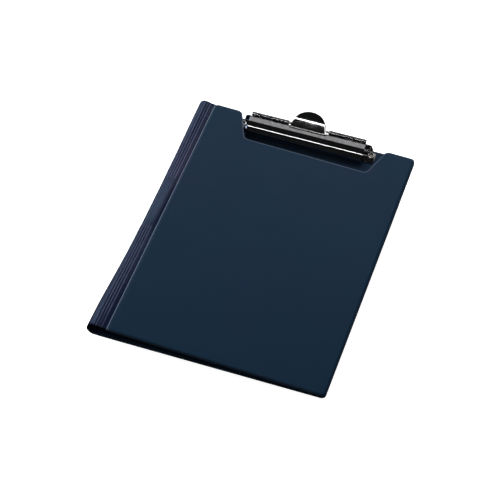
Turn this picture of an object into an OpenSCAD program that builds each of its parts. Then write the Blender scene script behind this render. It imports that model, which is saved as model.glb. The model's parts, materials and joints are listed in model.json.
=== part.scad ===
// Clipboard folder: two foil-covered boards, a ribbed foil spine and a sprung bar clip.
// The origin is on the underside of the back panel, on the clip's centre line, halfway along
// the panel. +Y points to the clip, +X to the free long edge, +Z up from the table.

/* [Panels] */
// Length of both panels along the spine
panel_h = 315; // [250:1:380]
// Distance from the clip's centre line to the free long edge
free_edge_x = 116; // [100:0.5:150]
// Distance from the clip's centre line to the crease beside the spine
back_crease_x = 116; // [98:0.5:150]
// Thickness of the back panel with both foils
back_t = 3; // [2.4:0.1:4]
// Thickness of the cover with both foils
cover_t = 2.4; // [2:0.1:3.2]
// Thickness of each foil
foil_t = 0.35; // [0.25:0.05:0.4]
// Width of the welded foil rim round each board
rim_w = 1.6; // [1:0.1:3]
// Corner radius of the panels
corner_r = 4.5; // [3.5:0.5:10]

/* [Spine] */
// Height of the cover's middle plane above the table, at its crease
cover_rise = 13.3; // [12.5:0.1:16]
// How far the cover's crease stands in from the back panel's crease
crease_setback = 11.5; // [8:0.5:16]
// Width of the first spine strip
spine_strip_first_w = 4; // [3.5:0.1:4.5]
// Width of each of the two outermost spine strips
spine_strip_round_w = 4.5; // [4:0.1:4.8]
// Gap between the closed cover's free edge and the back panel
cover_rest_gap = 0.3; // [0.2:0.1:1]

/* [Cut-out] */
// Depth of the cut-out, from the cover's top edge
cutout_depth = 35; // [32:0.5:45]
// Left end of the cut-out's long edge, from the clip's centre line
cutout_left = 60.5; // [60:0.5:75]
// Right end of the cut-out's long edge, from the clip's centre line
cutout_right = 72.5; // [64:0.5:82]
// How far the left side leans out over the cut-out's depth
cutout_left_lean = 14.3; // [8:0.1:18]
// How far the right side leans out over the cut-out's depth
cutout_right_lean = 12; // [8:0.1:18]
// Radius in the cut-out's two inner corners
cutout_r = 5.5; // [2:0.5:8]

/* [Clip] */
// Width of the jaw
jaw_w = 126.5; // [112:0.5:127]
// Outside radius of the jaw's rounded front
jaw_r = 11.8; // [10.5:0.1:12.5]
// Thickness of the clip's sheet steel
sheet_t = 1; // [0.8:0.1:1.2]
// Width of the thumb tab
tab_w = 39.4; // [32:0.2:40]
// Slope of the thumb tab where it leaves the jaw
tab_slope = 48; // [46:1:52]
// Radius of the thumb tab's bend
tab_bend_r = 33.6; // [32:0.2:50]
// Width of the base plate
base_w = 150; // [148:1:164]
// Distance from one rivet to the other
rivet_spacing = 141; // [138:1:150]
// Diameter of the hinge rod
rod_d = 2.4; // [2:0.1:2.5]
// Diameter of the spring wire
spring_wire_d = 0.7; // [0.5:0.05:0.7]

/* [Hidden] */

$fn = 96;
foil_colour = "#212e3e";
board_colour = "#8c8579";
chrome_colour = "#26272b";
cut = 1;                        // how far a cutting body reaches past the face it cuts

// Panels
top_y = panel_h / 2;
hinge_gap = 0.3;                // each strip stops this far short of its crease
spine_h = panel_h - 1;

// Spine: the closed profile is a chain of flat strips. Each direction is the angle by which a
// strip has turned from -X, over +Z, towards +X.
strip_dir = [20, 60, 105, 150, 178];
cover_w = free_edge_x + back_crease_x - crease_setback;
cover_drop = cover_rise - back_t - cover_rest_gap - cover_t / 2;
cover_tilt = asin(cover_drop / cover_w);
known_w = [spine_strip_first_w, spine_strip_round_w, spine_strip_round_w];
rise_left = cover_rise - back_t / 2
    - known_w[0] * sin(strip_dir[0]) - known_w[1] * sin(strip_dir[1])
    - known_w[2] * sin(strip_dir[2]);
run_left = -crease_setback
    - known_w[0] * cos(strip_dir[0]) - known_w[1] * cos(strip_dir[1])
    - known_w[2] * cos(strip_dir[2]);
chain_det = sin(strip_dir[3] - strip_dir[4]);
strip_4_w = (rise_left * cos(strip_dir[4]) - run_left * sin(strip_dir[4])) / chain_det;
strip_5_w = (run_left * sin(strip_dir[3]) - rise_left * cos(strip_dir[3])) / chain_det;
strip_w = concat(known_w, [strip_4_w, strip_5_w]);
link_dir = concat(strip_dir, [180 + cover_tilt]);
link_x = [for (i = 0, x = -back_crease_x; i <= 5;
    x = x - (i < 5 ? strip_w[i] * cos(strip_dir[i]) : 0), i = i + 1) x];
link_z = [for (i = 0, z = back_t / 2; i <= 5;
    z = z + (i < 5 ? strip_w[i] * sin(strip_dir[i]) : 0), i = i + 1) z];

// Cut-out, in the cover's own plane
cutout_shift = back_crease_x - crease_setback;
cutout_y = top_y - cutout_depth;
left_lean = atan(cutout_left_lean / cutout_depth);
right_lean = atan(cutout_right_lean / cutout_depth);

// Clip
hinge_y = top_y - 2.2;
hinge_z = back_t + 12.6;
knuckle_r = 2.4;
knuckle_clear = 0.35;
rod_fit = 0.05;
rod_end = 0.8;                  // the rod stops this far inside the jaw's ends
jaw_top = back_t + 12.2;
jaw_front_y = hinge_y - 9;      // centre line of the rounded front
jaw_rear_y = hinge_y - 1.6;
tab_root_y = hinge_y - 5;
tab_centre_y = tab_root_y - 1.5; // centre of the tab's round outline
tab_shoulder_y = hinge_y - 3.4;
knuckle_inner = [22, 39.5];     // knuckles of the base plate, either side
knuckle_outer = [40.1, jaw_w / 2 - 0.8];
knuckle_notch = [51.7, 52.3];   // narrow gap in each of the jaw's knuckles
notch_x = [21.6, 39.9];         // openings in the jaw's rear edge for the inner knuckles
base_front_y = hinge_y - 16.3;
base_corner_r = 3;
wall_half_w = [base_w / 2 - 4, base_w / 2 - 6];
wall_top = back_t + 9.7;
rivet_y = top_y - 8.5;
rivet_r = 1.95;
rivet_bore_r = 1.3;
rivet_head_r = 4;
rivet_head_t = 0.9;
washer_r = 4.5;
washer_t = 0.4;
set_head_r = 3;
set_head_t = 0.3;
washer_z = 0.05 + set_head_t;
spring_turns = 24;
spring_r = rod_d / 2 + 0.05 + spring_wire_d / 2;
spring_pitch = spring_wire_d * 0.98;
spring_half = spring_turns * spring_pitch / 2;
spring_leg_up = 8.5;
spring_leg_slope = tab_slope - 15;

function arc(centre, r, from, to, steps = 12) =
    [for (i = [0 : steps]) let (a = from + (to - from) * i / steps)
        [centre.x + r * cos(a), centre.y + r * sin(a)]];

// Outline with square corners at x0 and rounded corners at x1
module panel_outline(x0, x1, h, r) {
    translate([x0, -h / 2]) square([x1 - r - x0, h]);
    translate([x1 - r - 0.01, -h / 2 + r]) square([r + 0.01, h - 2 * r]);
    for (side = [-1, 1])
        translate([x1 - r, side * (h / 2 - r)]) circle(r);
}

// Half of a panel: one foil with its rim, open on the side where the board lies
module foil_tray(x0, x1, z_face, z_seam) {
    low = min(z_face, z_seam);
    pocket_low = z_face < z_seam ? z_face + foil_t : low - cut;
    pocket_high = z_face < z_seam ? z_seam + cut : z_face - foil_t;
    difference() {
        translate([0, 0, low])
            linear_extrude(abs(z_seam - z_face))
            panel_outline(x0, x1, panel_h, corner_r);
        translate([0, 0, pocket_low])
            linear_extrude(pocket_high - pocket_low)
            panel_outline(x0 + rim_w, x1 - rim_w, panel_h - 2 * rim_w, corner_r - rim_w);
    }
}

module board_slab(x0, x1, z0, z1) {
    translate([0, 0, z0])
        linear_extrude(z1 - z0)
        panel_outline(x0 + rim_w, x1 - rim_w, panel_h - 2 * rim_w, corner_r - rim_w);
}

module at_rivets() {
    for (side = [-1, 1])
        translate([side * rivet_spacing / 2, rivet_y, 0]) children();
}

module back_board() {
    color(board_colour)
    difference() {
        board_slab(-back_crease_x + hinge_gap, free_edge_x, foil_t, back_t - foil_t);
        at_rivets() translate([0, 0, -cut]) cylinder(h = back_t + 2 * cut, r = rivet_r);
        at_rivets() translate([0, 0, -cut]) cylinder(h = washer_z + washer_t + cut, r = washer_r);
    }
}

module back_outer_foil() {
    color(foil_colour)
    difference() {
        foil_tray(-back_crease_x + hinge_gap, free_edge_x, 0, back_t / 2);
        at_rivets() translate([0, 0, -cut]) cylinder(h = back_t, r = washer_r);
    }
}

module back_lining_foil() {
    color(foil_colour)
    difference() {
        foil_tray(-back_crease_x + hinge_gap, free_edge_x, back_t, back_t / 2);
        at_rivets() cylinder(h = back_t + cut, r = rivet_r);
    }
}

// Places a strip or the cover: its own +X runs away from the crease, its own +Z is the outside
module at_link(i) {
    translate([link_x[i], 0, link_z[i]]) rotate([0, 180 + link_dir[i], 0]) children();
}

module spine_layer(i, z0) {
    color(foil_colour)
    at_link(i)
        translate([hinge_gap, -spine_h / 2, z0])
        cube([strip_w[i] - 2 * hinge_gap, spine_h, foil_t]);
}

module spine_outer(number) {
    spine_layer(number - 1, 0);
}

module spine_lining(number) {
    spine_layer(number - 1, -foil_t);
}

// Cut-out outline, grown by margin and open past the cover's top edge
module cutout_outline(margin) {
    r = cutout_r + margin;
    left_angle = 90 + left_lean;
    right_angle = 90 + right_lean;
    left_c = [cutout_shift - cutout_left + cutout_r / tan(left_angle / 2), cutout_y + cutout_r];
    right_c = [cutout_shift + cutout_right - cutout_r / tan(right_angle / 2), cutout_y + cutout_r];
    left_arc = arc(left_c, r, -180 + left_lean, -90);
    right_arc = arc(right_c, r, -90, -right_lean);
    rise = top_y + cut - cutout_y - cutout_r;
    left_top = left_arc[0] + [-tan(left_lean), 1] * (rise - r * sin(-180 + left_lean));
    right_top = right_arc[12] + [tan(right_lean), 1] * (rise + r * sin(right_lean));
    polygon(concat([left_top], left_arc, right_arc, [right_top]));
}

module cutout(margin) {
    translate([0, 0, -cover_t]) linear_extrude(2 * cover_t) cutout_outline(margin);
}

module cover_board() {
    color(board_colour)
    at_link(5)
    difference() {
        board_slab(hinge_gap, cover_w, -cover_t / 2 + foil_t, cover_t / 2 - foil_t);
        cutout(rim_w);
    }
}

// The foil's rim also runs round the cut-out, so its pocket stops short of it
module cover_foil(z_face) {
    low = min(z_face, 0);
    pocket_low = z_face > 0 ? -cut : z_face + foil_t;
    pocket_high = z_face > 0 ? z_face - foil_t : cut;
    color(foil_colour)
    at_link(5)
    difference() {
        translate([0, 0, low])
            linear_extrude(abs(z_face))
            panel_outline(hinge_gap, cover_w, panel_h, corner_r);
        difference() {
            board_slab(hinge_gap, cover_w, pocket_low, pocket_high);
            cutout(rim_w);
        }
        cutout(0);
    }
}

module cover_outer_foil() {
    cover_foil(cover_t / 2);
}

module cover_lining_foil() {
    cover_foil(-cover_t / 2);
}

// Extrudes a profile drawn in Y and Z along X, from x0 to x1
module along_x(x0, x1) {
    translate([x0, 0, 0]) rotate([90, 0, 90]) linear_extrude(x1 - x0) children();
}

module hinge_cylinder(x0, x1, r) {
    translate([x0, hinge_y, hinge_z]) rotate([0, 90, 0]) cylinder(h = x1 - x0, r = r);
}

module both_sides() {
    children();
    mirror([1, 0, 0]) children();
}

// Section of the jaw: a quarter round at the front and a flat top behind it
module jaw_profile(rear_y) {
    intersection() {
        translate([jaw_front_y, jaw_top - jaw_r])
            difference() {
                circle(jaw_r);
                circle(jaw_r - sheet_t);
            }
        translate([jaw_front_y - jaw_r - cut, jaw_top - jaw_r]) square(jaw_r + cut);
    }
    translate([jaw_front_y - 0.01, jaw_top - sheet_t])
        square([rear_y - jaw_front_y + 0.01, sheet_t]);
}

// Section of the thumb tab: an arc that starts at the tab's slope and flattens towards its tip
module tab_profile() {
    centre = [tab_root_y + tab_bend_r * sin(tab_slope), jaw_top - tab_bend_r * cos(tab_slope)];
    intersection() {
        translate(centre)
            difference() {
                circle(tab_bend_r, $fn = 240);
                circle(tab_bend_r - sheet_t, $fn = 240);
            }
        translate([tab_root_y, jaw_top - sheet_t]) square([tab_w, tab_w]);
    }
}

module clip_jaw() {
    color(chrome_colour)
    difference() {
        union() {
            along_x(-jaw_w / 2, jaw_w / 2) jaw_profile(tab_root_y);
            both_sides() along_x(tab_w / 2 + 0.5, jaw_w / 2) jaw_profile(tab_shoulder_y);
            both_sides() along_x(notch_x[1], jaw_w / 2 - 0.8) jaw_profile(jaw_rear_y);
            both_sides() hinge_cylinder(knuckle_outer[0], knuckle_outer[1], knuckle_r);
            intersection() {
                along_x(-tab_w / 2, tab_w / 2) tab_profile();
                translate([0, tab_centre_y, 0]) cylinder(h = 3 * tab_w, r = tab_w / 2);
            }
            along_x(-tab_w / 2, tab_w / 2)
                translate([tab_root_y - 0.6, jaw_top - sheet_t]) square([1.1, sheet_t]);
        }
        both_sides() hinge_cylinder(notch_x[0], notch_x[1], knuckle_r + knuckle_clear);
        hinge_cylinder(-jaw_w, jaw_w, rod_d / 2 + rod_fit);
        both_sides()
            difference() {
                hinge_cylinder(knuckle_notch[0], knuckle_notch[1], knuckle_r + cut);
                along_x(0, jaw_w) translate([0, jaw_top - sheet_t - 0.3]) square([jaw_rear_y, 0.9]);
            }
    }
}

module clip_base_plate() {
    plate_half = base_w / 2;
    color(chrome_colour)
    difference() {
        union() {
            translate([0, 0, back_t])
                linear_extrude(sheet_t)
                union() {
                    translate([-plate_half, base_front_y + base_corner_r])
                        square([base_w, hinge_y - base_front_y - 2 * base_corner_r]);
                    translate([-plate_half + base_corner_r, base_front_y])
                        square([base_w - 2 * base_corner_r, hinge_y - base_front_y]);
                    for (x = [-1, 1], y = [base_front_y + base_corner_r, hinge_y - base_corner_r])
                        translate([x * (plate_half - base_corner_r), y]) circle(base_corner_r);
                }
            translate([0, hinge_y, 0])
                rotate([90, 0, 0])
                linear_extrude(sheet_t)
                polygon([[-wall_half_w[0], back_t + sheet_t / 2], [wall_half_w[0], back_t + sheet_t / 2],
                    [wall_half_w[1], wall_top], [-wall_half_w[1], wall_top]]);
            both_sides() {
                hinge_cylinder(knuckle_inner[0], knuckle_inner[1], knuckle_r);
                translate([knuckle_inner[0], hinge_y - sheet_t, wall_top - 1])
                    cube([knuckle_inner[1] - knuckle_inner[0], sheet_t, hinge_z - rod_d - wall_top + 1.4]);
            }
        }
        hinge_cylinder(-jaw_w, jaw_w, rod_d / 2);
        at_rivets() cylinder(h = jaw_top, r = rivet_r);
    }
}

module hinge_rod() {
    color("silver")
    hinge_cylinder(-jaw_w / 2 + rod_end, jaw_w / 2 - rod_end, rod_d / 2);
}

module torsion_spring() {
    color("silver") {
        translate([0, hinge_y, hinge_z])
            rotate([0, 90, 0])
            rotate_extrude()
            for (i = [0 : spring_turns - 1])
                translate([spring_r, (i + 0.5) * spring_pitch - spring_half])
                circle(d = spring_wire_d, $fn = 24);
        // Leg down the front of the base plate's wall
        translate([spring_half - spring_wire_d / 2, hinge_y - spring_r, back_t + sheet_t + 0.4])
            cylinder(h = hinge_z - back_t - sheet_t - 0.4, d = spring_wire_d, $fn = 24);
        // Leg up under the thumb tab
        translate([-spring_half + spring_wire_d / 2, hinge_y, hinge_z])
            rotate([spring_leg_slope, 0, 0])
            translate([0, 0, spring_r])
            rotate([-90, 0, 0])
            cylinder(h = spring_leg_up, d = spring_wire_d, $fn = 24);
    }
}

// Hollow rivet: rolled head on the base plate, set head under the washer
module rivet(side) {
    top_z = back_t + sheet_t;
    color(chrome_colour)
    translate([side * rivet_spacing / 2, rivet_y, 0])
    difference() {
        union() {
            translate([0, 0, 0.05]) cylinder(h = top_z, r = rivet_r);
            translate([0, 0, 0.05]) cylinder(h = set_head_t, r = set_head_r);
            translate([0, 0, top_z])
                rotate_extrude()
                intersection() {
                    translate([(rivet_head_r + rivet_bore_r) / 2, 0])
                        scale([(rivet_head_r - rivet_bore_r) / 2 / rivet_head_t, 1])
                        circle(rivet_head_t);
                    square([rivet_head_r, rivet_head_t]);
                }
        }
        translate([0, 0, -cut]) cylinder(h = jaw_top, r = rivet_bore_r);
    }
}

module rivet_washer(side) {
    color("silver")
    translate([side * rivet_spacing / 2, rivet_y, washer_z])
    difference() {
        cylinder(h = washer_t, r = washer_r);
        translate([0, 0, -cut]) cylinder(h = washer_t + 2 * cut, r = rivet_r);
    }
}

back_board();
back_outer_foil();
back_lining_foil();
clip_base_plate();
clip_jaw();
hinge_rod();
torsion_spring();
rivet(-1);  // rivet_left
rivet(1);  // rivet_right
rivet_washer(-1);  // rivet_washer_left
rivet_washer(1);  // rivet_washer_right
spine_outer(1);  // spine_outer_1
spine_outer(2);  // spine_outer_2
spine_outer(3);  // spine_outer_3
spine_outer(4);  // spine_outer_4
spine_outer(5);  // spine_outer_5
spine_lining(1);  // spine_lining_1
spine_lining(2);  // spine_lining_2
spine_lining(3);  // spine_lining_3
spine_lining(4);  // spine_lining_4
spine_lining(5);  // spine_lining_5
cover_board();
cover_outer_foil();
cover_lining_foil();
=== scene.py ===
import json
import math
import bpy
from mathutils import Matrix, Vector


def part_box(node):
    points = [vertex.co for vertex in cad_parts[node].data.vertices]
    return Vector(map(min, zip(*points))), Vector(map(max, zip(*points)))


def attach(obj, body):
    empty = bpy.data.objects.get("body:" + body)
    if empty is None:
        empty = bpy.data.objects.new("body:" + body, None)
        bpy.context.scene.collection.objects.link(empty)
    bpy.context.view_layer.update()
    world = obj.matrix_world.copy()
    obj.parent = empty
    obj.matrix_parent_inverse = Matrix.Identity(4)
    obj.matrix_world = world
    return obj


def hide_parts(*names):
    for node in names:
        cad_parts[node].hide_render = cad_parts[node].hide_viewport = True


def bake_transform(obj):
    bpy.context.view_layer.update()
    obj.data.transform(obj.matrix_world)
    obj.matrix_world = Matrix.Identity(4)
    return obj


bl_info = {
    "name": "Fold-over Clipboard",
    "version": (1, 0, 0),
    "blender": (4, 5, 0),
    "location": "3D View > Sidebar > Clipboard",
    "description": "Foil-covered fold-over clipboard with a spring clip, built on its packed frame",
    "category": "Object",
}

import bmesh
import bpy
from bpy.props import FloatProperty, FloatVectorProperty, IntProperty, PointerProperty
from mathutils import Matrix, Vector

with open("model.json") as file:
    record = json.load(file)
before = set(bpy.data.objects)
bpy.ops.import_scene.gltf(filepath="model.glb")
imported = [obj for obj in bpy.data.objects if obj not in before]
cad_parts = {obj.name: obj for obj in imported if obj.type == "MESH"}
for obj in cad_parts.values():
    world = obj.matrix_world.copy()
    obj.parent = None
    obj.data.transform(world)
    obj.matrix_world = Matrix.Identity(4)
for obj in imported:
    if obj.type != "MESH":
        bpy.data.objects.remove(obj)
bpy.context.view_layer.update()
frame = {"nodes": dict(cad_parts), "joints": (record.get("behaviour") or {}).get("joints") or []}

MM = 0.001
JOINTS = {joint["name"]: joint for joint in frame["joints"]}
CREASE_NAMES = ["spine_crease_%d" % number for number in range(1, 6)] + ["cover_crease"]
CREASES = [Vector(JOINTS[name]["pos_m"]) for name in CREASE_NAMES]
HINGE = Vector(JOINTS["jaw_open"]["pos_m"])
BACK_LOW, BACK_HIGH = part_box("back_outer_foil")
JAW_LOW, JAW_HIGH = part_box("clip_jaw")
BASE_LOW, BASE_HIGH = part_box("clip_base_plate")
ROD_LOW, ROD_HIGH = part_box("hinge_rod")

PANEL_HALF_H = BACK_HIGH.y
SPINE_HALF_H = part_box("spine_outer_5")[1].y
BACK_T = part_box("back_lining_foil")[1].z
COVER_T = 2.4 * MM
COVER_W = 220.5 * MM
FREE_EDGE_RISE = 1.5 * MM  # from the back panel to the cover's middle plane at its free edge
COVER_TILT = math.asin((CREASES[5].z - BACK_T - FREE_EDGE_RISE) / COVER_W)
COVER_MATRIX = Matrix.Translation(CREASES[5]) @ Matrix.Rotation(COVER_TILT, 4, "Y")
SPINE_LAP = 0.8 * MM  # how far the spine's skin reaches over each panel
CURVE_PARTS = 40  # pieces in which a fold's curve is measured
CREASE_CORNER = 3.6 * MM  # radius of the cover's corners beside the spine
BACK_CREASE_CORNER = 1.7 * MM
BACK_SOFTNESS = 0.25  # share of the cover's shoulder width on the back panel
KNUCKLE_R = 1.9 * MM  # middle line of the sheet rolled round the rod


# --- Sizes and colours a maker would change ---


class FoilSettings(bpy.types.PropertyGroup):
    colour: FloatVectorProperty(
        name="Foil colour", description="Navy colour of the outer foil", subtype="COLOR",
        default=(0.0052, 0.0196, 0.0398), min=0, max=1,
    )
    lining_colour: FloatVectorProperty(
        name="Lining colour", description="Colour of the foil on the inner faces", subtype="COLOR",
        default=(0.0045, 0.0150, 0.0310), min=0, max=1,
    )
    # Painted highlight: the paler tone stands in for light caught along the pressed weld lines
    weld_highlight_colour: FloatVectorProperty(
        name="Weld colour", description="Paler tone of the pressed weld lines", subtype="COLOR",
        default=(0.115, 0.150, 0.210), min=0, max=1,
    )
    # Painted shade: the spine's foil is the navy foil, given a darker tone here
    spine_shaded_colour: FloatVectorProperty(
        name="Spine colour", description="Colour of the stretched foil round the spine",
        subtype="COLOR", default=(0.0050, 0.0096, 0.0270), min=0, max=1,
    )
    # Painted highlight: the paler tone on the rib crests stands in for the highlights along them
    rib_highlight_colour: FloatVectorProperty(
        name="Rib colour", description="Highlighted, paler tone along the crests of the spine's ribs",
        subtype="COLOR", default=(0.050, 0.052, 0.105), min=0, max=1,
    )
    rim_colour: FloatVectorProperty(
        name="Rim colour", description="Colour of the flat welded rim round each panel",
        subtype="COLOR", default=(0.0075, 0.0160, 0.0300), min=0, max=1,
    )
    thickness: FloatProperty(
        name="Foil thickness", description="Thickness of one foil", default=0.35 * MM,
        unit="LENGTH",
    )
    rim: FloatProperty(
        name="Welded rim", description="Width of the welded edge outside the board",
        default=0.9 * MM, unit="LENGTH",
    )
    corner: FloatProperty(
        name="Corner radius", description="Radius of the panels' corners", default=4.5 * MM,
        unit="LENGTH",
    )
    grain: FloatProperty(
        name="Grain size", description="Size of the foil's embossed grain", default=0.45 * MM,
        unit="LENGTH",
    )


class CutoutSettings(bpy.types.PropertyGroup):
    depth: FloatProperty(
        name="Cut-out depth",
        description="How far the cut-out reaches down from the cover's top edge", default=35 * MM,
        unit="LENGTH",
    )
    left: FloatProperty(
        name="Cut-out left",
        description="Distance from the clip's middle to the cut-out's left side",
        default=60.5 * MM, unit="LENGTH",
    )
    right: FloatProperty(
        name="Cut-out right",
        description="Distance from the clip's middle to the cut-out's right side",
        default=72.5 * MM, unit="LENGTH",
    )
    left_lean: FloatProperty(
        name="Left lean", description="How much wider the cut-out is at its top on the left",
        default=14.3 * MM, unit="LENGTH",
    )
    right_lean: FloatProperty(
        name="Right lean", description="How much wider the cut-out is at its top on the right",
        default=12 * MM, unit="LENGTH",
    )
    inner_radius: FloatProperty(
        name="Inner corner radius", description="Radius of the cut-out's lower corners",
        default=5.5 * MM, unit="LENGTH",
    )
    outer_radius: FloatProperty(
        name="Outer corner radius", description="Radius where the cut-out meets the top edge",
        default=4 * MM, unit="LENGTH",
    )


class SpineSettings(bpy.types.PropertyGroup):
    rib_pitch: FloatProperty(
        name="Rib pitch", description="Distance from one pressed rib to the next",
        default=2.55 * MM, unit="LENGTH",
    )
    rib_height: FloatProperty(
        name="Rib height", description="Height of the ribs above the grooves between them",
        default=0.5 * MM, unit="LENGTH",
    )
    bulge: FloatProperty(
        name="Bulge", description="How far the spine swells outwards at its lower end",
        default=3.6 * MM, unit="LENGTH",
    )
    weld_bead: FloatProperty(
        name="Weld bead", description="Width of the pressed line along the cover's crease",
        default=0.9 * MM, unit="LENGTH",
    )
    columns: IntProperty(
        name="Columns", description="Mesh divisions across each fold of the spine", default=40,
        min=8,
    )


class ClipSettings(bpy.types.PropertyGroup):
    colour: FloatVectorProperty(
        name="Black chrome", description="Mirror tone of the plated sheet", subtype="COLOR",
        default=(0.42, 0.42, 0.43), min=0, max=1,
    )
    sheet: FloatProperty(
        name="Sheet thickness", description="Thickness of the plated steel sheet", default=1 * MM,
        unit="LENGTH",
    )
    front_radius: FloatProperty(
        name="Front radius", description="Outer radius of the jaw's rounded front",
        default=11.8 * MM, unit="LENGTH",
    )
    tab_radius: FloatProperty(
        name="Tab radius", description="Radius of the thumb tab's round outline",
        default=19.7 * MM, unit="LENGTH",
    )
    tab_slope: FloatProperty(
        name="Tab slope", description="Slope of the thumb tab where it leaves the jaw",
        default=math.radians(39.5), subtype="ANGLE",
    )
    wire: FloatProperty(
        name="Spring wire", description="Diameter of the torsion spring's wire", default=0.7 * MM,
        unit="LENGTH",
    )
    rod: FloatProperty(
        name="Rod diameter", description="Diameter of the hinge rod", default=2.4 * MM,
        unit="LENGTH",
    )


class StageSettings(bpy.types.PropertyGroup):
    floor_tone: FloatProperty(
        name="Floor tone", description="Brightness of the pale floor", default=1.0, min=0, max=2,
    )
    floor_drop: FloatProperty(
        name="Floor drop", description="How far the floor lies below the back panel",
        default=26 * MM, unit="LENGTH",
    )
    camera_place: FloatVectorProperty(
        name="Camera place", description="Where the camera stands", subtype="TRANSLATION",
        unit="LENGTH", default=(0.3687, -1.1115, 1.4476),
    )
    camera_azimuth: FloatProperty(
        name="Camera azimuth", description="Turn of the camera round the object", subtype="ANGLE",
        default=math.radians(18.87),
    )
    camera_elevation: FloatProperty(
        name="Camera elevation", description="Height of the camera above the horizon",
        subtype="ANGLE", default=math.radians(50.95),
    )
    lens: FloatProperty(
        name="Lens", description="Focal length in millimetres", default=132.9, min=10,
    )


# --- Helpers ---


def make_object(name, bm, materials, sharp=35.0):
    """Turns the bmesh into an object at the origin, smooth but for folds past the angle."""
    bm.normal_update()
    mesh = bpy.data.meshes.new(name)
    bm.to_mesh(mesh)
    bm.free()
    for material in materials:
        mesh.materials.append(material)
    mesh.shade_smooth()
    mesh.set_sharp_from_angle(angle=math.radians(sharp))
    piece = bpy.data.objects.new(name, mesh)
    bpy.context.scene.collection.objects.link(piece)
    return piece


def bake_modifiers(piece, sharp=35.0):
    """Replaces the piece's mesh with the shape its modifiers make."""
    depsgraph = bpy.context.evaluated_depsgraph_get()
    baked = bpy.data.meshes.new_from_object(piece.evaluated_get(depsgraph))
    old = piece.data
    piece.modifiers.clear()
    piece.data = baked
    baked.name = old.name
    bpy.data.meshes.remove(old)
    baked.shade_smooth()
    baked.set_sharp_from_angle(angle=math.radians(sharp))
    return piece


def add_thickness(piece, thickness, offset):
    wall = piece.modifiers.new("Thickness", "SOLIDIFY")
    wall.thickness = thickness
    wall.offset = offset
    wall.use_even_offset = True
    return piece


def add_edge_round(piece, width, segments=2, angle=50.0):
    edge = piece.modifiers.new("Edge round", "BEVEL")
    edge.width = width
    edge.segments = segments
    edge.limit_method = "ANGLE"
    edge.angle_limit = math.radians(angle)
    edge.harden_normals = False
    return piece


def round_off(bm, geom, radius, segments, affect="VERTICES"):
    bmesh.ops.bevel(
        bm, geom=geom, offset=radius, offset_type="OFFSET",
        segments=segments, profile=0.5, affect=affect, material=-1,
    )


def map_grid(bm, rows, columns, place):
    """Adds a grid to bm, each point where place(row, column) says; returns their (row, column)."""
    made = bmesh.ops.create_grid(
        bm, x_segments=len(columns) - 1, y_segments=len(rows) - 1, size=1.0
    )["verts"]
    spots = {}
    for vert in made:
        column = round((vert.co.x + 1) / 2 * (len(columns) - 1))
        row = round((vert.co.y + 1) / 2 * (len(rows) - 1))
        vert.co = place(rows[row], columns[column])
        spots[vert] = (rows[row], columns[column])
    return spots


def steps(low, high, count):
    return [low + (high - low) * i / count for i in range(count + 1)]


def smoothstep(low, high, value):
    """0 at low and before it, 1 at high and past it, smooth between; low may be the larger."""
    t = min(1.0, max(0.0, (value - low) / (high - low)))
    return t * t * (3 - 2 * t)


# --- Materials ---


def new_material(name):
    material = bpy.data.materials.new(name)
    material.use_nodes = True
    tree = material.node_tree
    shader = tree.nodes["Principled BSDF"]
    coords = tree.nodes.new("ShaderNodeTexCoord")
    return material, tree, shader, coords.outputs["Object"]


def noise(tree, coords, scale, detail=3.0, roughness=0.5, distortion=0.0):
    node = tree.nodes.new("ShaderNodeTexNoise")
    node.inputs["Scale"].default_value = scale
    node.inputs["Detail"].default_value = detail
    node.inputs["Roughness"].default_value = roughness
    node.inputs["Distortion"].default_value = distortion
    tree.links.new(coords, node.inputs["Vector"])
    return node.outputs["Fac"]


def spread(tree, value, low, high, start=0.3, end=0.7):
    node = tree.nodes.new("ShaderNodeMapRange")
    node.inputs["From Min"].default_value = start
    node.inputs["From Max"].default_value = end
    node.inputs["To Min"].default_value = low
    node.inputs["To Max"].default_value = high
    tree.links.new(value, node.inputs["Value"])
    return node.outputs["Result"]


def tint(tree, value, first, second):
    node = tree.nodes.new("ShaderNodeMix")
    node.data_type = "RGBA"
    node.inputs[6].default_value = (*first, 1)
    node.inputs[7].default_value = (*second, 1)
    tree.links.new(value, node.inputs[0])
    return node.outputs[2]


def bump(tree, height, strength, distance, below=None):
    node = tree.nodes.new("ShaderNodeBump")
    node.inputs["Strength"].default_value = strength
    node.inputs["Distance"].default_value = distance
    tree.links.new(height, node.inputs["Height"])
    if below is not None:
        tree.links.new(below, node.inputs["Normal"])
    return node.outputs["Normal"]


def shade(colour, factor):
    return tuple(channel * factor for channel in colour)


def foil_material(name, colour, grain, low_rough, high_rough, sway, shine):
    """Satin PVC foil: fine embossed grain over slow waves where it lies loose on the board."""
    material, tree, shader, coords = new_material(name)
    tone = noise(tree, coords, 9, 2)
    cool = (colour[0] * 0.86, colour[1] * 1.05, colour[2] * 1.0)
    warm = (colour[0] * 1.22, colour[1] * 0.94, colour[2] * 1.03)
    tree.links.new(tint(tree, spread(tree, tone, 0, 1), cool, warm), shader.inputs["Base Color"])
    rub = noise(tree, coords, 55, 4, 0.6)
    tree.links.new(spread(tree, rub, low_rough, high_rough), shader.inputs["Roughness"])
    waves = bump(tree, noise(tree, coords, 14, 1), sway, 0.8 * MM)
    fine = bump(tree, noise(tree, coords, 1 / grain, 3, 0.55), 0.22, 0.05 * MM, waves)
    tree.links.new(fine, shader.inputs["Normal"])
    shader.inputs["IOR"].default_value = 1.48
    shader.inputs["Specular IOR Level"].default_value = shine
    return material


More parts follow.
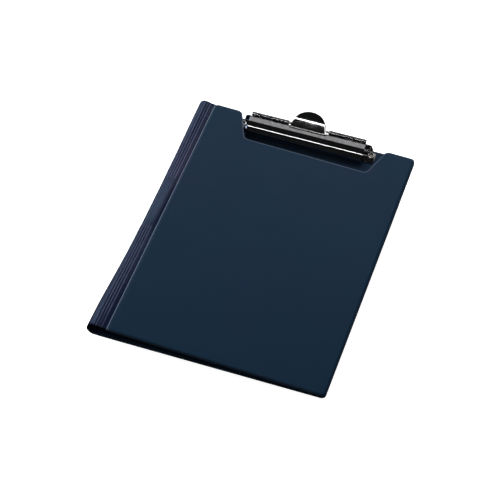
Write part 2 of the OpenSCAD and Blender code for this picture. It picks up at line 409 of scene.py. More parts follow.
def board_material():
    """Grey recycled board: flecked and fibrous."""
    material, tree, shader, coords = new_material("Greyboard")
    flecks = noise(tree, coords, 900, 5, 0.7)
    tree.links.new(
        tint(tree, spread(tree, flecks, 0, 1, 0.35, 0.65), (0.20, 0.19, 0.17), (0.36, 0.34, 0.31)),
        shader.inputs["Base Color"],
    )
    fibres = noise(tree, coords, 350, 6, 0.75, 0.6)
    tree.links.new(bump(tree, fibres, 0.5, 0.12 * MM), shader.inputs["Normal"])
    tree.links.new(spread(tree, flecks, 0.82, 0.95), shader.inputs["Roughness"])
    return material


def plated_material(name, colour, low_rough, high_rough, ripple=0.12):
    """Plated steel: a mirror finish with faint orange peel, handling marks and darker specks."""
    material, tree, shader, coords = new_material(name)
    smudge = noise(tree, coords, 60, 4, 0.6, 0.4)
    tree.links.new(spread(tree, smudge, low_rough, high_rough), shader.inputs["Roughness"])
    wear = noise(tree, coords, 240, 3)
    tree.links.new(
        tint(tree, spread(tree, wear, 0, 1), shade(colour, 0.78), shade(colour, 1.12)),
        shader.inputs["Base Color"],
    )
    peel = noise(tree, coords, 260, 3)
    tree.links.new(bump(tree, peel, ripple, 0.03 * MM), shader.inputs["Normal"])
    shader.inputs["Metallic"].default_value = 1.0
    return material


def wire_material(name, colour, axis_scale):
    """Drawn steel wire: fine lines along the draw and a bright, slightly uneven polish."""
    material, tree, shader, coords = new_material(name)
    place = tree.nodes.new("ShaderNodeMapping")
    place.inputs["Scale"].default_value = axis_scale
    tree.links.new(coords, place.inputs["Vector"])
    lines = noise(tree, place.outputs["Vector"], 900, 3)
    tree.links.new(spread(tree, lines, 0.16, 0.34), shader.inputs["Roughness"])
    polish = tint(tree, spread(tree, lines, 0, 1), shade(colour, 0.8), colour)
    tree.links.new(polish, shader.inputs["Base Color"])
    tree.links.new(bump(tree, lines, 0.15, 0.02 * MM), shader.inputs["Normal"])
    shader.inputs["Metallic"].default_value = 1.0
    return material


def shared_material(key):
    """Each finish is made once and shared by the pieces that wear it."""
    if key in bpy.data.materials:
        return bpy.data.materials[key]
    foil = bpy.context.scene.clipboard_foil
    clip = bpy.context.scene.clipboard_clip
    # Colour, grain's share, least and most roughness, depth of the slow waves, shine
    foils = {
        "Navy foil": (foil.colour, 1, 0.34, 0.46, 0.5, 0.21),
        "Lining foil": (foil.lining_colour, 1, 0.42, 0.54, 0.5, 0.16),
        # The spine's darker tone is painted shade
        "Spine foil": (foil.spine_shaded_colour, 0.8, 0.20, 0.28, 0.2, 0.35),
        "Welded rim": (foil.rim_colour, 0.5, 0.30, 0.40, 0.1, 0.2),
        # Painted highlight along the pressed weld line at the cover's crease
        "Weld line highlight": (foil.weld_highlight_colour, 0.5, 0.24, 0.34, 0.1, 0.35),
        # Painted highlight along the spine's rib crests
        "Rib crest highlight": (foil.rib_highlight_colour, 0.5, 0.22, 0.32, 0.1, 0.35),
        # Painted highlight along the cut-out's rim, a dimmer share of the weld tone
        "Cut-out rim highlight": (shade(foil.weld_highlight_colour, 0.42), 0.5, 0.28, 0.38, 0.1, 0.25),
    }
    if key in foils:
        colour, grain, *rest = foils[key]
        return foil_material(key, colour, foil.grain * grain, *rest)
    if key == "Greyboard":
        return board_material()
    if key == "Black chrome":
        return plated_material(key, clip.colour, 0.035, 0.085, 0.16)
    if key == "Nickel":
        return plated_material(key, (0.74, 0.71, 0.66), 0.12, 0.22, 0.07)
    if key == "Rod steel":
        return wire_material(key, (0.62, 0.61, 0.59), (0.03, 1, 1))
    if key == "Spring steel":
        return wire_material(key, (0.45, 0.45, 0.46), (1, 0.2, 0.2))
    raise ValueError("no finish named " + key)


# --- Panels ---


def shoulder_rows(rim, foil_t, half_t, softness):
    """Insets and heights from the weld seam over the rim and the board's edge to the flat face."""
    rise = half_t - foil_t
    heights = [(0.0, 0.7), (0.12, 1.0)]
    rows = [(inset * MM, part * foil_t) for inset, part in heights]
    rows.append((rim, foil_t))
    for inset, part in (
        (0.06, 0.18), (0.16, 0.36), (0.34, 0.55), (0.60, 0.71), (0.95, 0.84), (1.45, 0.93),
        (2.1, 0.985), (2.6, 1.0),
    ):
        rows.append((rim + inset * softness * MM, foil_t + rise * part))
    return rows


def panel_skin(bm, corners, rounding, rows, pale=None):
    """Fills bm with one foil over a board: rounded outline, welded rim and a soft shoulder.

    pale(middle) says whether a face of the rim gets the paler painted highlight.
    """
    verts = [bm.verts.new((x, y, 0)) for x, y in corners]
    bm.faces.new(verts)
    for radius in sorted(set(r for r in rounding if r > 0)):
        chosen = [vert for vert, r in zip(verts, rounding) if r == radius]
        round_off(bm, chosen, radius, 8)
    face = max(bm.faces, key=lambda f: f.calc_area())
    if face.normal.z < 0:
        face.normal_flip()
    last_inset, last_height = 0.0, 0.0
    for count, (inset, height) in enumerate(rows):
        ring = bmesh.ops.inset_region(
            bm, faces=[face], thickness=max(inset - last_inset, 1e-6), depth=height - last_height,
            use_boundary=True, use_even_offset=True,
        )["faces"]
        for ring_face in ring:
            ring_face.material_index = 1 if count == 2 else 0
            # Rim faces that pale picks get the painted highlight finish
            if pale and count in (2, 3) and pale(ring_face.calc_center_median()):
                ring_face.material_index = 2
        last_inset, last_height = inset, height
    return face


def dress_panel(
    name, corners, rounding, half_t, up, matrix, finish, node, softness=1.0, pale=None
):
    foil = bpy.context.scene.clipboard_foil
    bm = bmesh.new()
    rows = shoulder_rows(foil.rim, foil.thickness, half_t, softness)
    panel_skin(bm, corners, rounding, rows, pale)
    if not up:
        bmesh.ops.scale(bm, vec=(1, 1, -1), verts=bm.verts)
        bmesh.ops.reverse_faces(bm, faces=bm.faces)
    bmesh.ops.transform(bm, matrix=matrix, verts=bm.verts)
    # The third finish is the painted highlight along the cut-out's rim
    finishes = [shared_material(key) for key in (finish, "Welded rim", "Cut-out rim highlight")]
    piece = make_object(name, bm, finishes, 60)
    add_thickness(piece, foil.thickness, -1)
    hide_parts(node)
    return piece


def cut_round_holes(piece, places, radius, depth):
    """Cuts a round hole through the piece's sheet at each place."""
    bm = bmesh.new()
    for x, y, z in places:
        bmesh.ops.create_cone(
            bm, cap_ends=True, segments=48, radius1=radius, radius2=radius, depth=depth,
            matrix=Matrix.Translation((x, y, z)),
        )
    mesh = bpy.data.meshes.new("hole_cutter")
    bm.to_mesh(mesh)
    bm.free()
    cutter = bpy.data.objects.new("hole_cutter", mesh)
    bpy.context.scene.collection.objects.link(cutter)
    cut = piece.modifiers.new("Holes", "BOOLEAN")
    cut.operation = "DIFFERENCE"
    cut.solver = "EXACT"
    cut.object = cutter
    bake_modifiers(piece, 60)
    bpy.data.objects.remove(cutter)
    bpy.data.meshes.remove(mesh)


class CLIPBOARD_OT_back_panel(bpy.types.Operator):
    """Make the back panel's outer foil and lining"""

    bl_idname = "clipboard.back_panel"
    bl_label = "Back panel foils"
    bl_options = {"REGISTER", "UNDO"}

    def execute(self, context):
        foil = context.scene.clipboard_foil
        low_x, high_x = BACK_LOW.x, BACK_HIGH.x
        corners = [
            (low_x, -PANEL_HALF_H), (high_x, -PANEL_HALF_H), (high_x, PANEL_HALF_H),
            (low_x, PANEL_HALF_H),
        ]
        rounding = [BACK_CREASE_CORNER, foil.corner, foil.corner, BACK_CREASE_CORNER]
        matrix = Matrix.Translation((0, 0, BACK_T / 2))
        outer = dress_panel(
            "back_panel_outer_skin", corners, rounding, BACK_T / 2, False, matrix,
            "Navy foil", "back_outer_foil", BACK_SOFTNESS,
        )
        washers = [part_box("rivet_washer_" + side) for side in ("left", "right")]
        places = [((a.x + b.x) / 2, (a.y + b.y) / 2) for a, b in washers]
        radius = (washers[0][1].x - washers[0][0].x) / 2
        cut_round_holes(outer, [(x, y, 0) for x, y in places], radius, 2.4 * MM)
        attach(outer, "back_panel")
        lining = dress_panel(
            "back_panel_lining_skin", corners, rounding, BACK_T / 2, True, matrix,
            "Lining foil", "back_lining_foil", BACK_SOFTNESS,
        )
        cut_round_holes(lining, [(x, y, BACK_T) for x, y in places], 1.95 * MM, 2.4 * MM)
        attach(lining, "back_panel")
        return {"FINISHED"}


class CLIPBOARD_OT_cover(bpy.types.Operator):
    """Make the cover's outer foil and lining, with the cut-out for the clip"""

    bl_idname = "clipboard.cover"
    bl_label = "Cover foils"
    bl_options = {"REGISTER", "UNDO"}

    def execute(self, context):
        foil = context.scene.clipboard_foil
        cut = context.scene.clipboard_cutout
        shift = -CREASES[5].x
        top = PANEL_HALF_H
        foot = top - cut.depth
        corners = [
            (0.3 * MM, -top), (COVER_W, -top), (COVER_W, top),
            (shift + cut.right + cut.right_lean, top), (shift + cut.right, foot),
            (shift - cut.left, foot), (shift - cut.left - cut.left_lean, top), (0.3 * MM, top),
        ]
        rounding = [
            CREASE_CORNER, foil.corner, foil.corner, cut.outer_radius,
            cut.inner_radius * 0.7, cut.inner_radius * 0.7, cut.outer_radius, CREASE_CORNER,
        ]


        # Painted highlight: rim faces along the cut-out's foot and sides take the paler finish
        def pale(middle):
            low_x, high_x = shift - cut.left - cut.left_lean, shift + cut.right + cut.right_lean
            return middle.y > foot - 2 * MM and low_x < middle.x < high_x

        for name, up, finish, node, slot in (
            ("cover_outer_skin", True, "Navy foil", "cover_outer_foil", "navy_foil"),
            ("cover_lining_skin", False, "Lining foil", "cover_lining_foil", "lining_foil"),
        ):
            piece = dress_panel(
                name, corners, rounding, COVER_T / 2, up, COVER_MATRIX, finish, node,
                pale=pale,
            )
            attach(piece, "cover")
        return {"FINISHED"}


class CLIPBOARD_OT_boards(bpy.types.Operator):
    """Give the boards inside the foils their grey card finish"""

    bl_idname = "clipboard.boards"
    bl_label = "Boards"
    bl_options = {"REGISTER", "UNDO"}

    def execute(self, context):
        for name in ("back_board", "cover_board"):
            board = frame["nodes"][name]
            board.data.materials.clear()
            board.data.materials.append(shared_material("Greyboard"))
        return {"FINISHED"}


# --- Spine ---


def spine_stations():
    """Points where one fold of the spine hands over to the next, as (x, z)."""
    first = CREASES[0] + Vector((SPINE_LAP, 0, 0))
    last = CREASES[5] + Vector((math.cos(COVER_TILT), 0, -math.sin(COVER_TILT))) * SPINE_LAP
    middles = [(a + b) / 2 for a, b in zip(CREASES[:-1], CREASES[1:])]
    return [first, *middles, last]


def fold_point(stations, fold, t):
    """Point and outward normal on one fold's curve, which is tangent to the strips it joins."""
    a, b, c = stations[fold], CREASES[fold], stations[fold + 1]
    point = a * (1 - t) ** 2 + b * (2 * t * (1 - t)) + c * t**2
    along = (b - a) * (1 - t) + (c - b) * t
    normal = Vector((along.z, 0, -along.x)).normalized()
    return point, -normal


def spine_lengths(stations, parts=CURVE_PARTS):
    """For each fold, the length walked along its curve at each of its parts."""
    lengths = []
    for fold in range(6):
        points = [fold_point(stations, fold, i / parts)[0] for i in range(parts + 1)]
        lengths.append([0.0])
        for p, q in zip(points[:-1], points[1:]):
            lengths[-1].append(lengths[-1][-1] + (q - p).length)
    return lengths


def rib_mask(y):
    """Ribs lie below the middle and again near the top; between them the foil is smooth."""
    lower = 1 - smoothstep(-25 * MM, -20 * MM, y)
    foot = smoothstep(-150 * MM, -118 * MM, y)
    upper = smoothstep(36 * MM, 62 * MM, y)
    return lower * (0.35 + 0.65 * foot) + 0.8 * upper


def rib_wave(settings, run):
    """1 on the crest of a rib and 0 midway between two ribs."""
    return 0.5 + 0.5 * math.cos(2 * math.pi * (run - 5.0 * MM) / settings.rib_pitch)


def rib_band(run):
    """The ribs fill a band beside the cover's crease."""
    return smoothstep(2.6 * MM, 4.4 * MM, run) * (1 - smoothstep(17 * MM, 21 * MM, run))


def spine_relief(settings, run, share, y):
    """Height above the plain curve, at run from the cover's crease and share round the spine."""
    ends = math.sin(math.pi * min(1.0, max(0.0, share))) ** 0.8
    swell = settings.bulge * (1 - smoothstep(-157 * MM, -25 * MM, y)) ** 1.3
    swell -= 0.5 * MM * smoothstep(-120 * MM, 20 * MM, y) * (1 - smoothstep(60 * MM, 150 * MM, y))
    crown = math.exp(-(((run - 11 * MM) / (5.2 * MM)) ** 2))
    crown *= 2.5 * MM * smoothstep(60 * MM, 157 * MM, y)
    ribs = settings.rib_height * (rib_wave(settings, run) ** 2.6 - 0.28)
    ribs *= rib_mask(y) * rib_band(run)
    lens = math.exp(-(((y - 10 * MM) / (34 * MM)) ** 4))
    pillow = 0.75 * MM * lens * math.exp(-(((run - 4.5 * MM) / (4.2 * MM)) ** 2))
    groove = 0.55 * MM * math.exp(-((run / (2.1 * MM)) ** 2)) * smoothstep(0, 0.7 * MM, abs(run))
    bead = 0.14 * MM * math.exp(-((run / (0.45 * MM)) ** 2))
    return swell * ends + crown + ribs + pillow * smoothstep(0.5 * MM, 3 * MM, run) - groove + bead


class CLIPBOARD_OT_spine(bpy.types.Operator):
    """Make the spine's six folds, each curved between the two strips or panels it joins"""

    bl_idname = "clipboard.spine"
    bl_label = "Spine folds"
    bl_options = {"REGISTER", "UNDO"}

    def execute(self, context):
        settings = context.scene.clipboard_spine
        foil = context.scene.clipboard_foil
        stations = spine_stations()
        lengths = spine_lengths(stations)
        whole = sum(part[-1] for part in lengths)
        rows = steps(-SPINE_HALF_H, SPINE_HALF_H, 160)
        for fold in range(6):
            before = sum(part[-1] for part in lengths[:fold])
            columns = steps(0, 1, settings.columns * (2 if fold == 5 else 1))

            def run_at(t):
                """Length along the spine from the cover's crease to this point of the fold."""
                spot = t * CURVE_PARTS
                index = min(CURVE_PARTS - 1, int(spot))
                part = lengths[fold][index + 1] - lengths[fold][index]
                return whole - SPINE_LAP - before - lengths[fold][index] - (spot - index) * part

            def place(y, t):
                point, normal = fold_point(stations, fold, t)
                run = run_at(t)
                share = (whole - SPINE_LAP - run) / whole
                lift = spine_relief(settings, run, share, y)
                return Vector((point.x, y, point.z)) + normal * lift

            bm = bmesh.new()
            spots = map_grid(bm, rows, columns, place)
            for face in bm.faces:
                y = sum(spots[vert][0] for vert in face.verts) / 4
                t = sum(spots[vert][1] for vert in face.verts) / 4
                run = run_at(t)
                # Painted highlight: faces on the rib crests get the paler crest tone
                if rib_wave(settings, run) > 0.90 and rib_mask(y) * rib_band(run) > 0.25:
                    face.material_index = 2
            bm.normal_update()
            middle = min(bm.faces, key=lambda f: abs(f.calc_center_median().y))
            point, normal = fold_point(stations, fold, 0.5)
            if middle.normal.dot(normal) < 0:
                bmesh.ops.reverse_faces(bm, faces=bm.faces)
            # The pressed weld line along the cover's crease, painted paler as its highlight
            if fold == 5:
                for face in bm.faces:
                    middle = face.calc_center_median()
                    taper = 0.65 + 0.5 * smoothstep(150 * MM, -150 * MM, middle.y)
                    width = settings.weld_bead * taper
                    if abs(middle.x - CREASES[5].x) < width / 2:
                        face.material_index = 1
            name = "spine_fold_%d" % (fold + 1)
            finishes = [shared_material(key) for key in ("Spine foil", "Weld line highlight", "Rib crest highlight")]
            piece = make_object(name, bm, finishes, 60)
            add_thickness(piece, 2 * foil.thickness - 0.04 * MM, 0)
            if fold < 5:
                number = fold + 1
                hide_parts("spine_outer_%d" % number, "spine_lining_%d" % number)
            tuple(stations[fold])
            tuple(stations[fold + 1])
            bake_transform(piece)
        return {"FINISHED"}


# --- Clip ---


def jaw_path(clip):
    """Middle line of the jaw's sheet, from the lip over the front and top and round the rod."""
    half = clip.sheet / 2
    centre_y = HINGE.y - 9 * MM
    centre_z = HINGE.z - 0.4 * MM - clip.front_radius
    radius = clip.front_radius - half
    path = []
    for i in range(25):
        angle = math.pi - math.pi / 2 * i / 24
        path.append((centre_y + radius * math.cos(angle), centre_z + radius * math.sin(angle)))
    flat_z = path[-1][1]
    path += [(y * MM + HINGE.y, flat_z) for y in (-7.5, -6.2, -5.0, -4.2, -3.4)]
    start = math.radians(-105)
    enter = (HINGE.y + KNUCKLE_R * math.cos(start), HINGE.z + KNUCKLE_R * math.sin(start))
    for t in (0.25, 0.5, 0.75):
        blend = smoothstep(0, 1, t)
        y = (HINGE.y - 3.4 * MM) * (1 - t) + enter[0] * t
        path.append((y, flat_z * (1 - blend) + enter[1] * blend))
    sweep = math.radians(278)
    for i in range(33):
        angle = start + sweep * i / 32
        path.append(
            (HINGE.y + KNUCKLE_R * math.cos(angle), HINGE.z + KNUCKLE_R * math.sin(angle))
        )
    return path


def tab_heights(clip, root_z):
    """Height of the tab's middle line at every tenth of a millimetre behind its root."""
    reach = [0.0, 0.48, 0.72, 1.0]
    slopes = [clip.tab_slope - drop for drop in (0, 0.055, 0.30, 0.58)]
    depth = clip.tab_radius - 1.5 * MM
    heights = [root_z]
    for i in range(int(depth / (0.1 * MM)) + 2):
        share = min(1.0, (i + 0.5) * 0.1 * MM / depth)
        part = next(k for k in range(3) if share <= reach[k + 1])
        t = (share - reach[part]) / (reach[part + 1] - reach[part])
        slope = slopes[part] + (slopes[part + 1] - slopes[part]) * t
        heights.append(heights[-1] + 0.1 * MM * math.tan(slope))
    return heights


class CLIPBOARD_OT_jaw(bpy.types.Operator):
    """Make the plated jaw: rounded front, flat top, thumb tab and rolled knuckles"""

    bl_idname = "clipboard.jaw"
    bl_label = "Jaw"
    bl_options = {"REGISTER", "UNDO"}

    def execute(self, context):
        clip = context.scene.clipboard_clip
        path = jaw_path(clip)
        half_w = JAW_HIGH.x
        root_row, shoulder_row = 27, 29
        curl_row = 32
        tab_foot = math.sqrt(clip.tab_radius**2 - (1.5 * MM) ** 2)
        inner = [u * tab_foot for u in steps(0, 1, 14)]
        outer = [v * MM for v in (20.2, 21.6, 25, 30, 35, 39.9, 43, 47, 51.7, 52.3, 55, 59, 62.45)]
        right = inner + outer + [half_w]
        columns = [-x for x in reversed(right[1:])] + right
        rows = list(range(len(path)))

        bm = bmesh.new()
        map_grid(bm, rows, columns, lambda row, x: Vector((x, *path[row])))
        bm.verts.ensure_lookup_table()
        unwanted = []
        for face in bm.faces:
            middle = face.calc_center_median()
            x = abs(middle.x)
            row = min(
                range(len(path) - 1),
                key=lambda i: (
                    ((path[i][0] + path[i + 1][0]) / 2 - middle.y) ** 2
                    + ((path[i][1] + path[i + 1][1]) / 2 - middle.z) ** 2
                ),
            )
            if x < tab_foot + 0.5 * MM:
                limit = root_row
            elif x < 39.9 * MM or x > 62.45 * MM:
                limit = shoulder_row
            elif 51.7 * MM < x < 52.3 * MM:
                limit = curl_row
            else:
                limit = len(path)
            if row >= limit:
                unwanted.append(face)
        bmesh.ops.delete(bm, geom=unwanted, context="FACES")

        # Thumb tab: the same columns drawn in to the round outline, up a curve that flattens
        root_y, root_z = path[root_row]
        heights = tab_heights(clip, root_z)
        tab_centre_y = HINGE.y - 6.5 * MM
        first = math.asin((root_y - tab_centre_y) / clip.tab_radius)
        tab_columns = [x / tab_foot for x in columns if abs(x) <= tab_foot + 1e-7]
        tab_rows = steps(first, math.pi / 2, 26)

        def place(turn, u):
            y = tab_centre_y + clip.tab_radius * math.sin(turn)
            spot = min(len(heights) - 1.001, (y - root_y) / (0.1 * MM))
            index = int(max(0, spot))
            z = heights[index] + (heights[index + 1] - heights[index]) * (spot - index)
            return Vector((u * clip.tab_radius * math.cos(turn), y, z))

        map_grid(bm, tab_rows, tab_columns, place)
        bmesh.ops.remove_doubles(bm, verts=bm.verts, dist=0.02 * MM)
        bmesh.ops.recalc_face_normals(bm, faces=bm.faces)
        bm.normal_update()
        top = [f for f in bm.faces if f.calc_center_median().y > path[25][0] - 1e-6
               and f.calc_center_median().y < path[27][0] and abs(f.normal.z) > 0.95]
        if top and top[0].normal.z < 0:
            bmesh.ops.reverse_faces(bm, faces=bm.faces)
        piece = make_object("jaw_sheet", bm, [shared_material("Black chrome")], 60)
        add_thickness(piece, clip.sheet, 0)
        add_edge_round(piece, 0.14 * MM, 2)
        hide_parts("clip_jaw")
        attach(piece, "jaw")
        return {"FINISHED"}


class CLIPBOARD_OT_base_plate(bpy.types.Operator):
    """Make the clip's base plate: foot, rear wall with sloping ends, and the inner knuckles"""

    bl_idname = "clipboard.base_plate"
    bl_label = "Base plate"
    bl_options = {"REGISTER", "UNDO"}

    def execute(self, context):
        clip = context.scene.clipboard_clip
        half = clip.sheet / 2
        half_w = BASE_HIGH.x
        front_y = BASE_LOW.y
        foot_z = BASE_LOW.z + half
        bend_r = 1.0 * MM
        wall_y = HINGE.y - half
        fold_y = wall_y - bend_r
        wall_foot, wall_head = half_w - 4 * MM, half_w - 6 * MM
        wall_top = BASE_LOW.z + 9.7 * MM

        bm = bmesh.new()
        outline = [
            (-half_w, front_y), (half_w, front_y), (half_w, fold_y), (wall_foot, fold_y),
            (-wall_foot, fold_y), (-half_w, fold_y),
        ]
        verts = [bm.verts.new((x, y, foot_z)) for x, y in outline]
        foot = bm.faces.new(verts)
        foot.normal_update()
        if foot.normal.z < 0:
            foot.normal_flip()
        round_off(bm, [verts[0], verts[1]], 3 * MM, 8)

        def on_fold(vert, x):
            return abs(abs(vert.co.x) - x) < 1e-6 and abs(vert.co.y - fold_y) < 1e-6

        round_off(bm, [v for v in bm.verts if on_fold(v, half_w)], 2 * MM, 6)
        fold = [e for e in bm.edges if all(on_fold(v, wall_foot) for v in e.verts)]
        turned = bmesh.ops.spin(
            bm, geom=fold + [v for e in fold for v in e.verts], cent=(0, fold_y, foot_z + bend_r),
            axis=(1, 0, 0), dvec=(0, 0, 0), angle=math.radians(90), steps=6, use_merge=False,
        )["geom_last"]
        rim = [item for item in turned if isinstance(item, bmesh.types.BMEdge)]
        raised = bmesh.ops.extrude_edge_only(bm, edges=rim)["geom"]
        head = [item for item in raised if isinstance(item, bmesh.types.BMVert)]
        for vert in head:
            vert.co.z = wall_top
            vert.co.x *= wall_head / wall_foot
        round_off(bm, head, 2.6 * MM, 8)
        # Inner knuckles: strips that go on up from the wall and roll over the rod
        strip = [
            (wall_y, wall_top - 1.5 * MM),
            (wall_y, wall_top - 0.4 * MM),
            (wall_y + 0.15 * MM, wall_top + 0.5 * MM),
        ]
        for i in range(33):
            angle = math.radians(-66 + 280 * i / 32)
            strip.append(
                (HINGE.y + KNUCKLE_R * math.cos(angle), HINGE.z + KNUCKLE_R * math.sin(angle))
            )
        for side in (-1, 1):
            map_grid(
                bm, list(range(len(strip))), [side * v * MM for v in (22, 26, 31, 35, 39.5)],
                lambda row, x: Vector((x, *strip[row])),
            )
        bmesh.ops.recalc_face_normals(bm, faces=bm.faces)
        piece = make_object("base_plate_sheet", bm, [shared_material("Black chrome")], 60)
        add_thickness(piece, clip.sheet, 0)
        add_edge_round(piece, 0.14 * MM, 2)
        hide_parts("clip_base_plate")
        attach(piece, "back_panel")
        return {"FINISHED"}


class CLIPBOARD_OT_rod_and_spring(bpy.types.Operator):
    """Make the hinge rod and the torsion spring wound on it"""

    bl_idname = "clipboard.rod_and_spring"
    bl_label = "Rod and spring"
    bl_options = {"REGISTER", "UNDO"}

    def execute(self, context):
        clip = context.scene.clipboard_clip
        bm = bmesh.new()
        length = ROD_HIGH.x - ROD_LOW.x
        bmesh.ops.create_cone(
            bm, cap_ends=True, segments=32,
            radius1=clip.rod / 2, radius2=clip.rod / 2, depth=length,
            matrix=Matrix.Translation((0, HINGE.y, HINGE.z)) @ Matrix.Rotation(math.pi / 2, 4, "Y"),
        )
        ends = [
            e for e in bm.edges if all(abs(abs(v.co.x) - length / 2) < 1e-6 for v in e.verts)
        ]
        round_off(bm, ends, 0.35 * MM, 3, "EDGES")
        rod = make_object("hinge_rod_turned", bm, [shared_material("Rod steel")], 40)
        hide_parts("hinge_rod")
        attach(rod, "back_panel")

        wire_r = clip.wire / 2
        coil_r = clip.rod / 2 + 0.05 * MM + wire_r
        half = 8.232 * MM  # half the winding's length
        upper_leg = 123  # turn of the leg under the thumb tab, in degrees
        turns = 23 + (180 - upper_leg) / 360
        count = round(turns * 22)
        left, right = -half + wire_r, half - wire_r
        start = math.radians(upper_leg)
        bm = bmesh.new()
        ring = bmesh.ops.create_circle(bm, cap_ends=False, segments=10, radius=wire_r)["verts"]
        # The ring stands across the wire, which runs round the rod at this point
        turn = Matrix.Rotation(start, 4, "X")
        place = Matrix.Translation((left, HINGE.y, HINGE.z))
        place = place @ turn @ Matrix.Translation((0, coil_r, 0))
        bmesh.ops.transform(bm, matrix=place, verts=ring)
        ring_edges = list(bm.edges)
        bmesh.ops.spin(
            bm, geom=ring + ring_edges, cent=(0, HINGE.y, HINGE.z), axis=(1, 0, 0),
            dvec=((right - left) / count, 0, 0), angle=math.radians(360 * turns), steps=count,
            use_merge=False,
        )
        # Straight legs, one down the wall of the base plate and one up under the thumb tab
        leg_down = HINGE.z - BASE_LOW.z - clip.sheet - 0.4 * MM
        bmesh.ops.create_cone(
            bm, cap_ends=True, segments=10, radius1=wire_r, radius2=wire_r, depth=leg_down,
            matrix=Matrix.Translation((right, HINGE.y - coil_r, HINGE.z - leg_down / 2)),
        )
        slope = math.radians(33)
        leg_up = 8.5 * MM
        along = Vector((0, math.cos(slope), math.sin(slope)))
        foot = Vector((left, HINGE.y - coil_r * along.z, HINGE.z + coil_r * along.y))
        bmesh.ops.create_cone(
            bm, cap_ends=True, segments=10, radius1=wire_r, radius2=wire_r, depth=leg_up,
            matrix=Matrix.Translation(foot + along * leg_up / 2)
            @ Matrix.Rotation(slope - math.pi / 2, 4, "X"),
        )
        bmesh.ops.recalc_face_normals(bm, faces=bm.faces)
        spring = make_object("torsion_spring_wound", bm, [shared_material("Spring steel")], 50)
        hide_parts("torsion_spring")
        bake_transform(spring)
        return {"FINISHED"}


def turned_piece(name, profile, centre, finish):
    """Spins a profile of (radius, height) points into a closed ring about an upright axis."""
    bm = bmesh.new()
    verts = [bm.verts.new((centre[0] + radius, centre[1], z)) for radius, z in profile]
    edges = [bm.edges.new((a, b)) for a, b in zip(verts, verts[1:] + verts[:1])]
    bmesh.ops.spin(
        bm, geom=verts + edges, cent=(centre[0], centre[1], 0), axis=(0, 0, 1), dvec=(0, 0, 0),
        angle=math.radians(360), steps=40, use_merge=True,
    )
    bmesh.ops.remove_doubles(bm, verts=bm.verts, dist=0.001 * MM)
    bmesh.ops.recalc_face_normals(bm, faces=bm.faces)
    return make_object(name, bm, [shared_material(finish)], 40)


class CLIPBOARD_OT_rivets(bpy.types.Operator):
    """Make the two hollow rivets with their rolled heads, and the washers under the board"""

    bl_idname = "clipboard.rivets"
    bl_label = "Rivets and washers"
    bl_options = {"REGISTER", "UNDO"}

    def execute(self, context):
        for side in ("left", "right"):
            low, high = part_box("rivet_" + side)
            centre = ((low.x + high.x) / 2, (low.y + high.y) / 2)
            head_r = (high.x - low.x) / 2
            top = high.z
            head_foot = top - 0.9 * MM
            bore = 1.3 * MM
            shank = 1.93 * MM
            foot_r, foot_top = 3.0 * MM, low.z + 0.3 * MM
            roll = 0.75 * MM
            profile = [
                (bore, low.z), (foot_r, low.z), (foot_r, foot_top), (shank, foot_top),
                (shank, head_foot), (head_r - 0.25 * MM, head_foot),
            ]
            for i in range(9):
                angle = math.radians(-60 + 150 * i / 8)
                radius = head_r - roll + roll * math.cos(angle)
                profile.append((radius, head_foot + 0.42 * MM + 0.48 * MM * math.sin(angle)))
            for i in range(1, 7):
                angle = math.radians(90 * i / 6)
                radius = bore + (head_r - roll - bore) * (1 - math.sin(angle))
                profile.append((radius, top - roll * (1 - math.cos(angle))))
            rivet = turned_piece("rivet_%s_rolled" % side, profile, centre, "Nickel")
            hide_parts("rivet_" + side)
            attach(rivet, "back_panel")
            low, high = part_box("rivet_washer_" + side)
            radius = (high.x - low.x) / 2
            chamfer = 0.1 * MM
            hole = 1.98 * MM
            profile = [
                (hole, low.z + chamfer), (hole + chamfer, low.z),
                (radius - chamfer, low.z), (radius, low.z + chamfer),
                (radius, high.z - chamfer), (radius - chamfer, high.z),
                (hole + chamfer, high.z), (hole, high.z - chamfer),
            ]
            washer = turned_piece("washer_%s_ring" % side, profile, centre, "Nickel")
            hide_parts("rivet_washer_" + side)
            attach(washer, "back_panel")
        return {"FINISHED"}


# --- Stage ---


def soft_light(name, aim, direction, distance, width, height, brightness, colour=(1, 1, 1)):
    """A rectangular studio light aimed at a point; brightness is its surface radiance."""
    light = bpy.data.lights.new(name, "AREA")
    light.shape = "RECTANGLE"
    light.size = width
    light.size_y = height
    light.color = colour
    light.energy = brightness * math.pi * width * height
    lamp = bpy.data.objects.new(name, light)
    bpy.context.scene.collection.objects.link(lamp)
    away = Vector(direction).normalized()
    lamp.location = Vector(aim) + away * distance
    lamp.rotation_mode = "QUATERNION"
    lamp.rotation_quaternion = away.to_track_quat("Z", "Y")
    return lamp


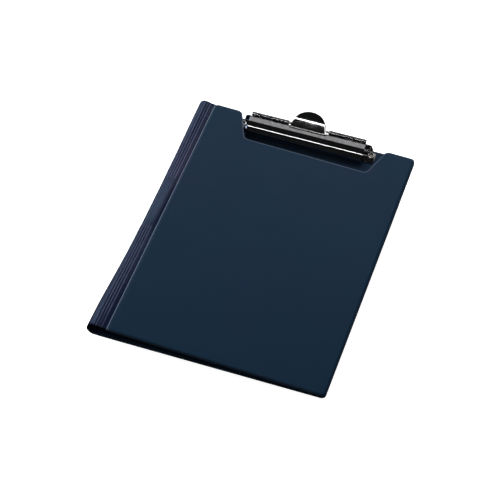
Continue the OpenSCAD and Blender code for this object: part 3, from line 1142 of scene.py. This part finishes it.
class CLIPBOARD_OT_stage(bpy.types.Operator):
    """Make the floor, the studio lights and the camera"""

    bl_idname = "clipboard.stage"
    bl_label = "Stage"
    bl_options = {"REGISTER", "UNDO"}

    def execute(self, context):
        stage = context.scene.clipboard_stage
        scene = context.scene
        scene.view_settings.view_transform = "Standard"

        bm = bmesh.new()
        bmesh.ops.create_circle(bm, cap_ends=True, segments=96, radius=6.0)
        mesh = bpy.data.meshes.new("floor")
        bm.to_mesh(mesh)
        bm.free()
        floor = bpy.data.objects.new("floor", mesh)
        # Low enough for the cover to fold back under the back panel
        floor.location.z = -stage.floor_drop
        floor.visible_diffuse = False
        floor.visible_glossy = False
        scene.collection.objects.link(floor)
        paint = bpy.data.materials.new("Floor white")
        paint.use_nodes = True
        tree = paint.node_tree
        shader = tree.nodes["Principled BSDF"]
        shader.inputs["Base Color"].default_value = (0.8, 0.8, 0.8, 1)
        shader.inputs["Roughness"].default_value = 0.9
        shader.inputs["Emission Color"].default_value = (1, 1, 1, 1)
        shader.inputs["Emission Strength"].default_value = 0.95 * stage.floor_tone
        mesh.materials.append(paint)

        world = bpy.data.worlds.new("Studio")
        world.use_nodes = True
        scene.world = world
        tree = world.node_tree
        tree.nodes.clear()
        rays = tree.nodes.new("ShaderNodeLightPath")
        seen = tree.nodes.new("ShaderNodeBackground")
        seen.inputs["Color"].default_value = (1, 1, 1, 1)
        seen.inputs["Strength"].default_value = 1.0
        room = tree.nodes.new("ShaderNodeBackground")
        room.inputs["Color"].default_value = (0.95, 0.97, 1, 1)
        room.inputs["Strength"].default_value = 0.015
        mix = tree.nodes.new("ShaderNodeMixShader")
        out = tree.nodes.new("ShaderNodeOutputWorld")
        tree.links.new(rays.outputs["Is Camera Ray"], mix.inputs[0])
        tree.links.new(room.outputs[0], mix.inputs[1])
        tree.links.new(seen.outputs[0], mix.inputs[2])
        tree.links.new(mix.outputs[0], out.inputs["Surface"])

        clip_middle = (JAW_LOW + JAW_HIGH) / 2
        middle = (0, 0, 0)
        blue = (0.50, 0.68, 1.0)
        for lamp in (
            ("front_strip", clip_middle, (-0.1899, -0.4868, 0.8525), 1.8, 2.2, 0.062, 12.0),
            ("rear_panel", clip_middle, (-0.12, 0.68, 0.72), 2.2, 1.7, 0.75, 0.60),
            ("rear_left_box", middle, (-0.66, 0.62, 0.40), 2.2, 0.9, 1.5, 2.3, blue),
            ("right_panel", middle, (0.80, -0.55, 0.42), 2.4, 0.9, 1.1, 0.6),
            ("left_panel", middle, (-0.92, -0.38, 0.30), 2.4, 0.8, 0.9, 0.5),
        ):
            soft_light(*lamp)
        # These light the foil without showing in the plated steel
        for name, direction, width, brightness in (
            ("key_box", (-0.12, 0.80, 0.54), 1.65, 14.3),
            ("rear_fill", (0.35, 0.80, 0.35), 2.4, 1.0),
            ("left_fill", (-0.9, 0.1, 0.3), 1.8, 0.35),
            ("front_fill", (-0.15, -0.95, 0.25), 1.8, 0.45),
        ):
            lamp = soft_light(name, middle, direction, 3.0, width, width, brightness)
            lamp.visible_glossy = False

        camera = bpy.data.cameras.new("camera")
        camera.lens = stage.lens
        camera.sensor_width = 36
        camera.clip_start = 0.05
        camera.clip_end = 30
        eye = bpy.data.objects.new("camera", camera)
        eye.location = stage.camera_place
        eye.rotation_euler = (math.pi / 2 - stage.camera_elevation, 0, stage.camera_azimuth)
        scene.collection.objects.link(eye)
        scene.camera = eye
        return {"FINISHED"}


class CLIPBOARD_PT_panel(bpy.types.Panel):
    """Lists the clipboard's pieces and the sizes that shape them"""

    bl_label = "Clipboard"
    bl_idname = "CLIPBOARD_PT_panel"
    bl_space_type = "VIEW_3D"
    bl_region_type = "UI"
    bl_category = "Clipboard"

    def draw(self, context):
        layout = self.layout
        for group in GROUPS:
            settings = getattr(context.scene, group)
            box = layout.box()
            for name in settings.__annotations__:
                box.prop(settings, name)
        for operator in OPERATORS:
            layout.operator(operator.bl_idname)


GROUPS = {
    "clipboard_foil": FoilSettings,
    "clipboard_cutout": CutoutSettings,
    "clipboard_spine": SpineSettings,
    "clipboard_clip": ClipSettings,
    "clipboard_stage": StageSettings,
}
OPERATORS = (
    CLIPBOARD_OT_back_panel, CLIPBOARD_OT_cover, CLIPBOARD_OT_boards, CLIPBOARD_OT_spine,
    CLIPBOARD_OT_base_plate, CLIPBOARD_OT_jaw, CLIPBOARD_OT_rod_and_spring, CLIPBOARD_OT_rivets,
    CLIPBOARD_OT_stage,
)


def register():
    for name, group in GROUPS.items():
        bpy.utils.register_class(group)
        setattr(bpy.types.Scene, name, PointerProperty(type=group))
    for operator in OPERATORS:
        bpy.utils.register_class(operator)
    bpy.utils.register_class(CLIPBOARD_PT_panel)


def unregister():
    bpy.utils.unregister_class(CLIPBOARD_PT_panel)
    for operator in reversed(OPERATORS):
        bpy.utils.unregister_class(operator)
    for name, group in reversed(list(GROUPS.items())):
        delattr(bpy.types.Scene, name)
        bpy.utils.unregister_class(group)


def main():
    register()
    for operator in OPERATORS:
        area, name = operator.bl_idname.split(".")
        getattr(getattr(bpy.ops, area), name)()


if __name__ == "__main__":
    main()
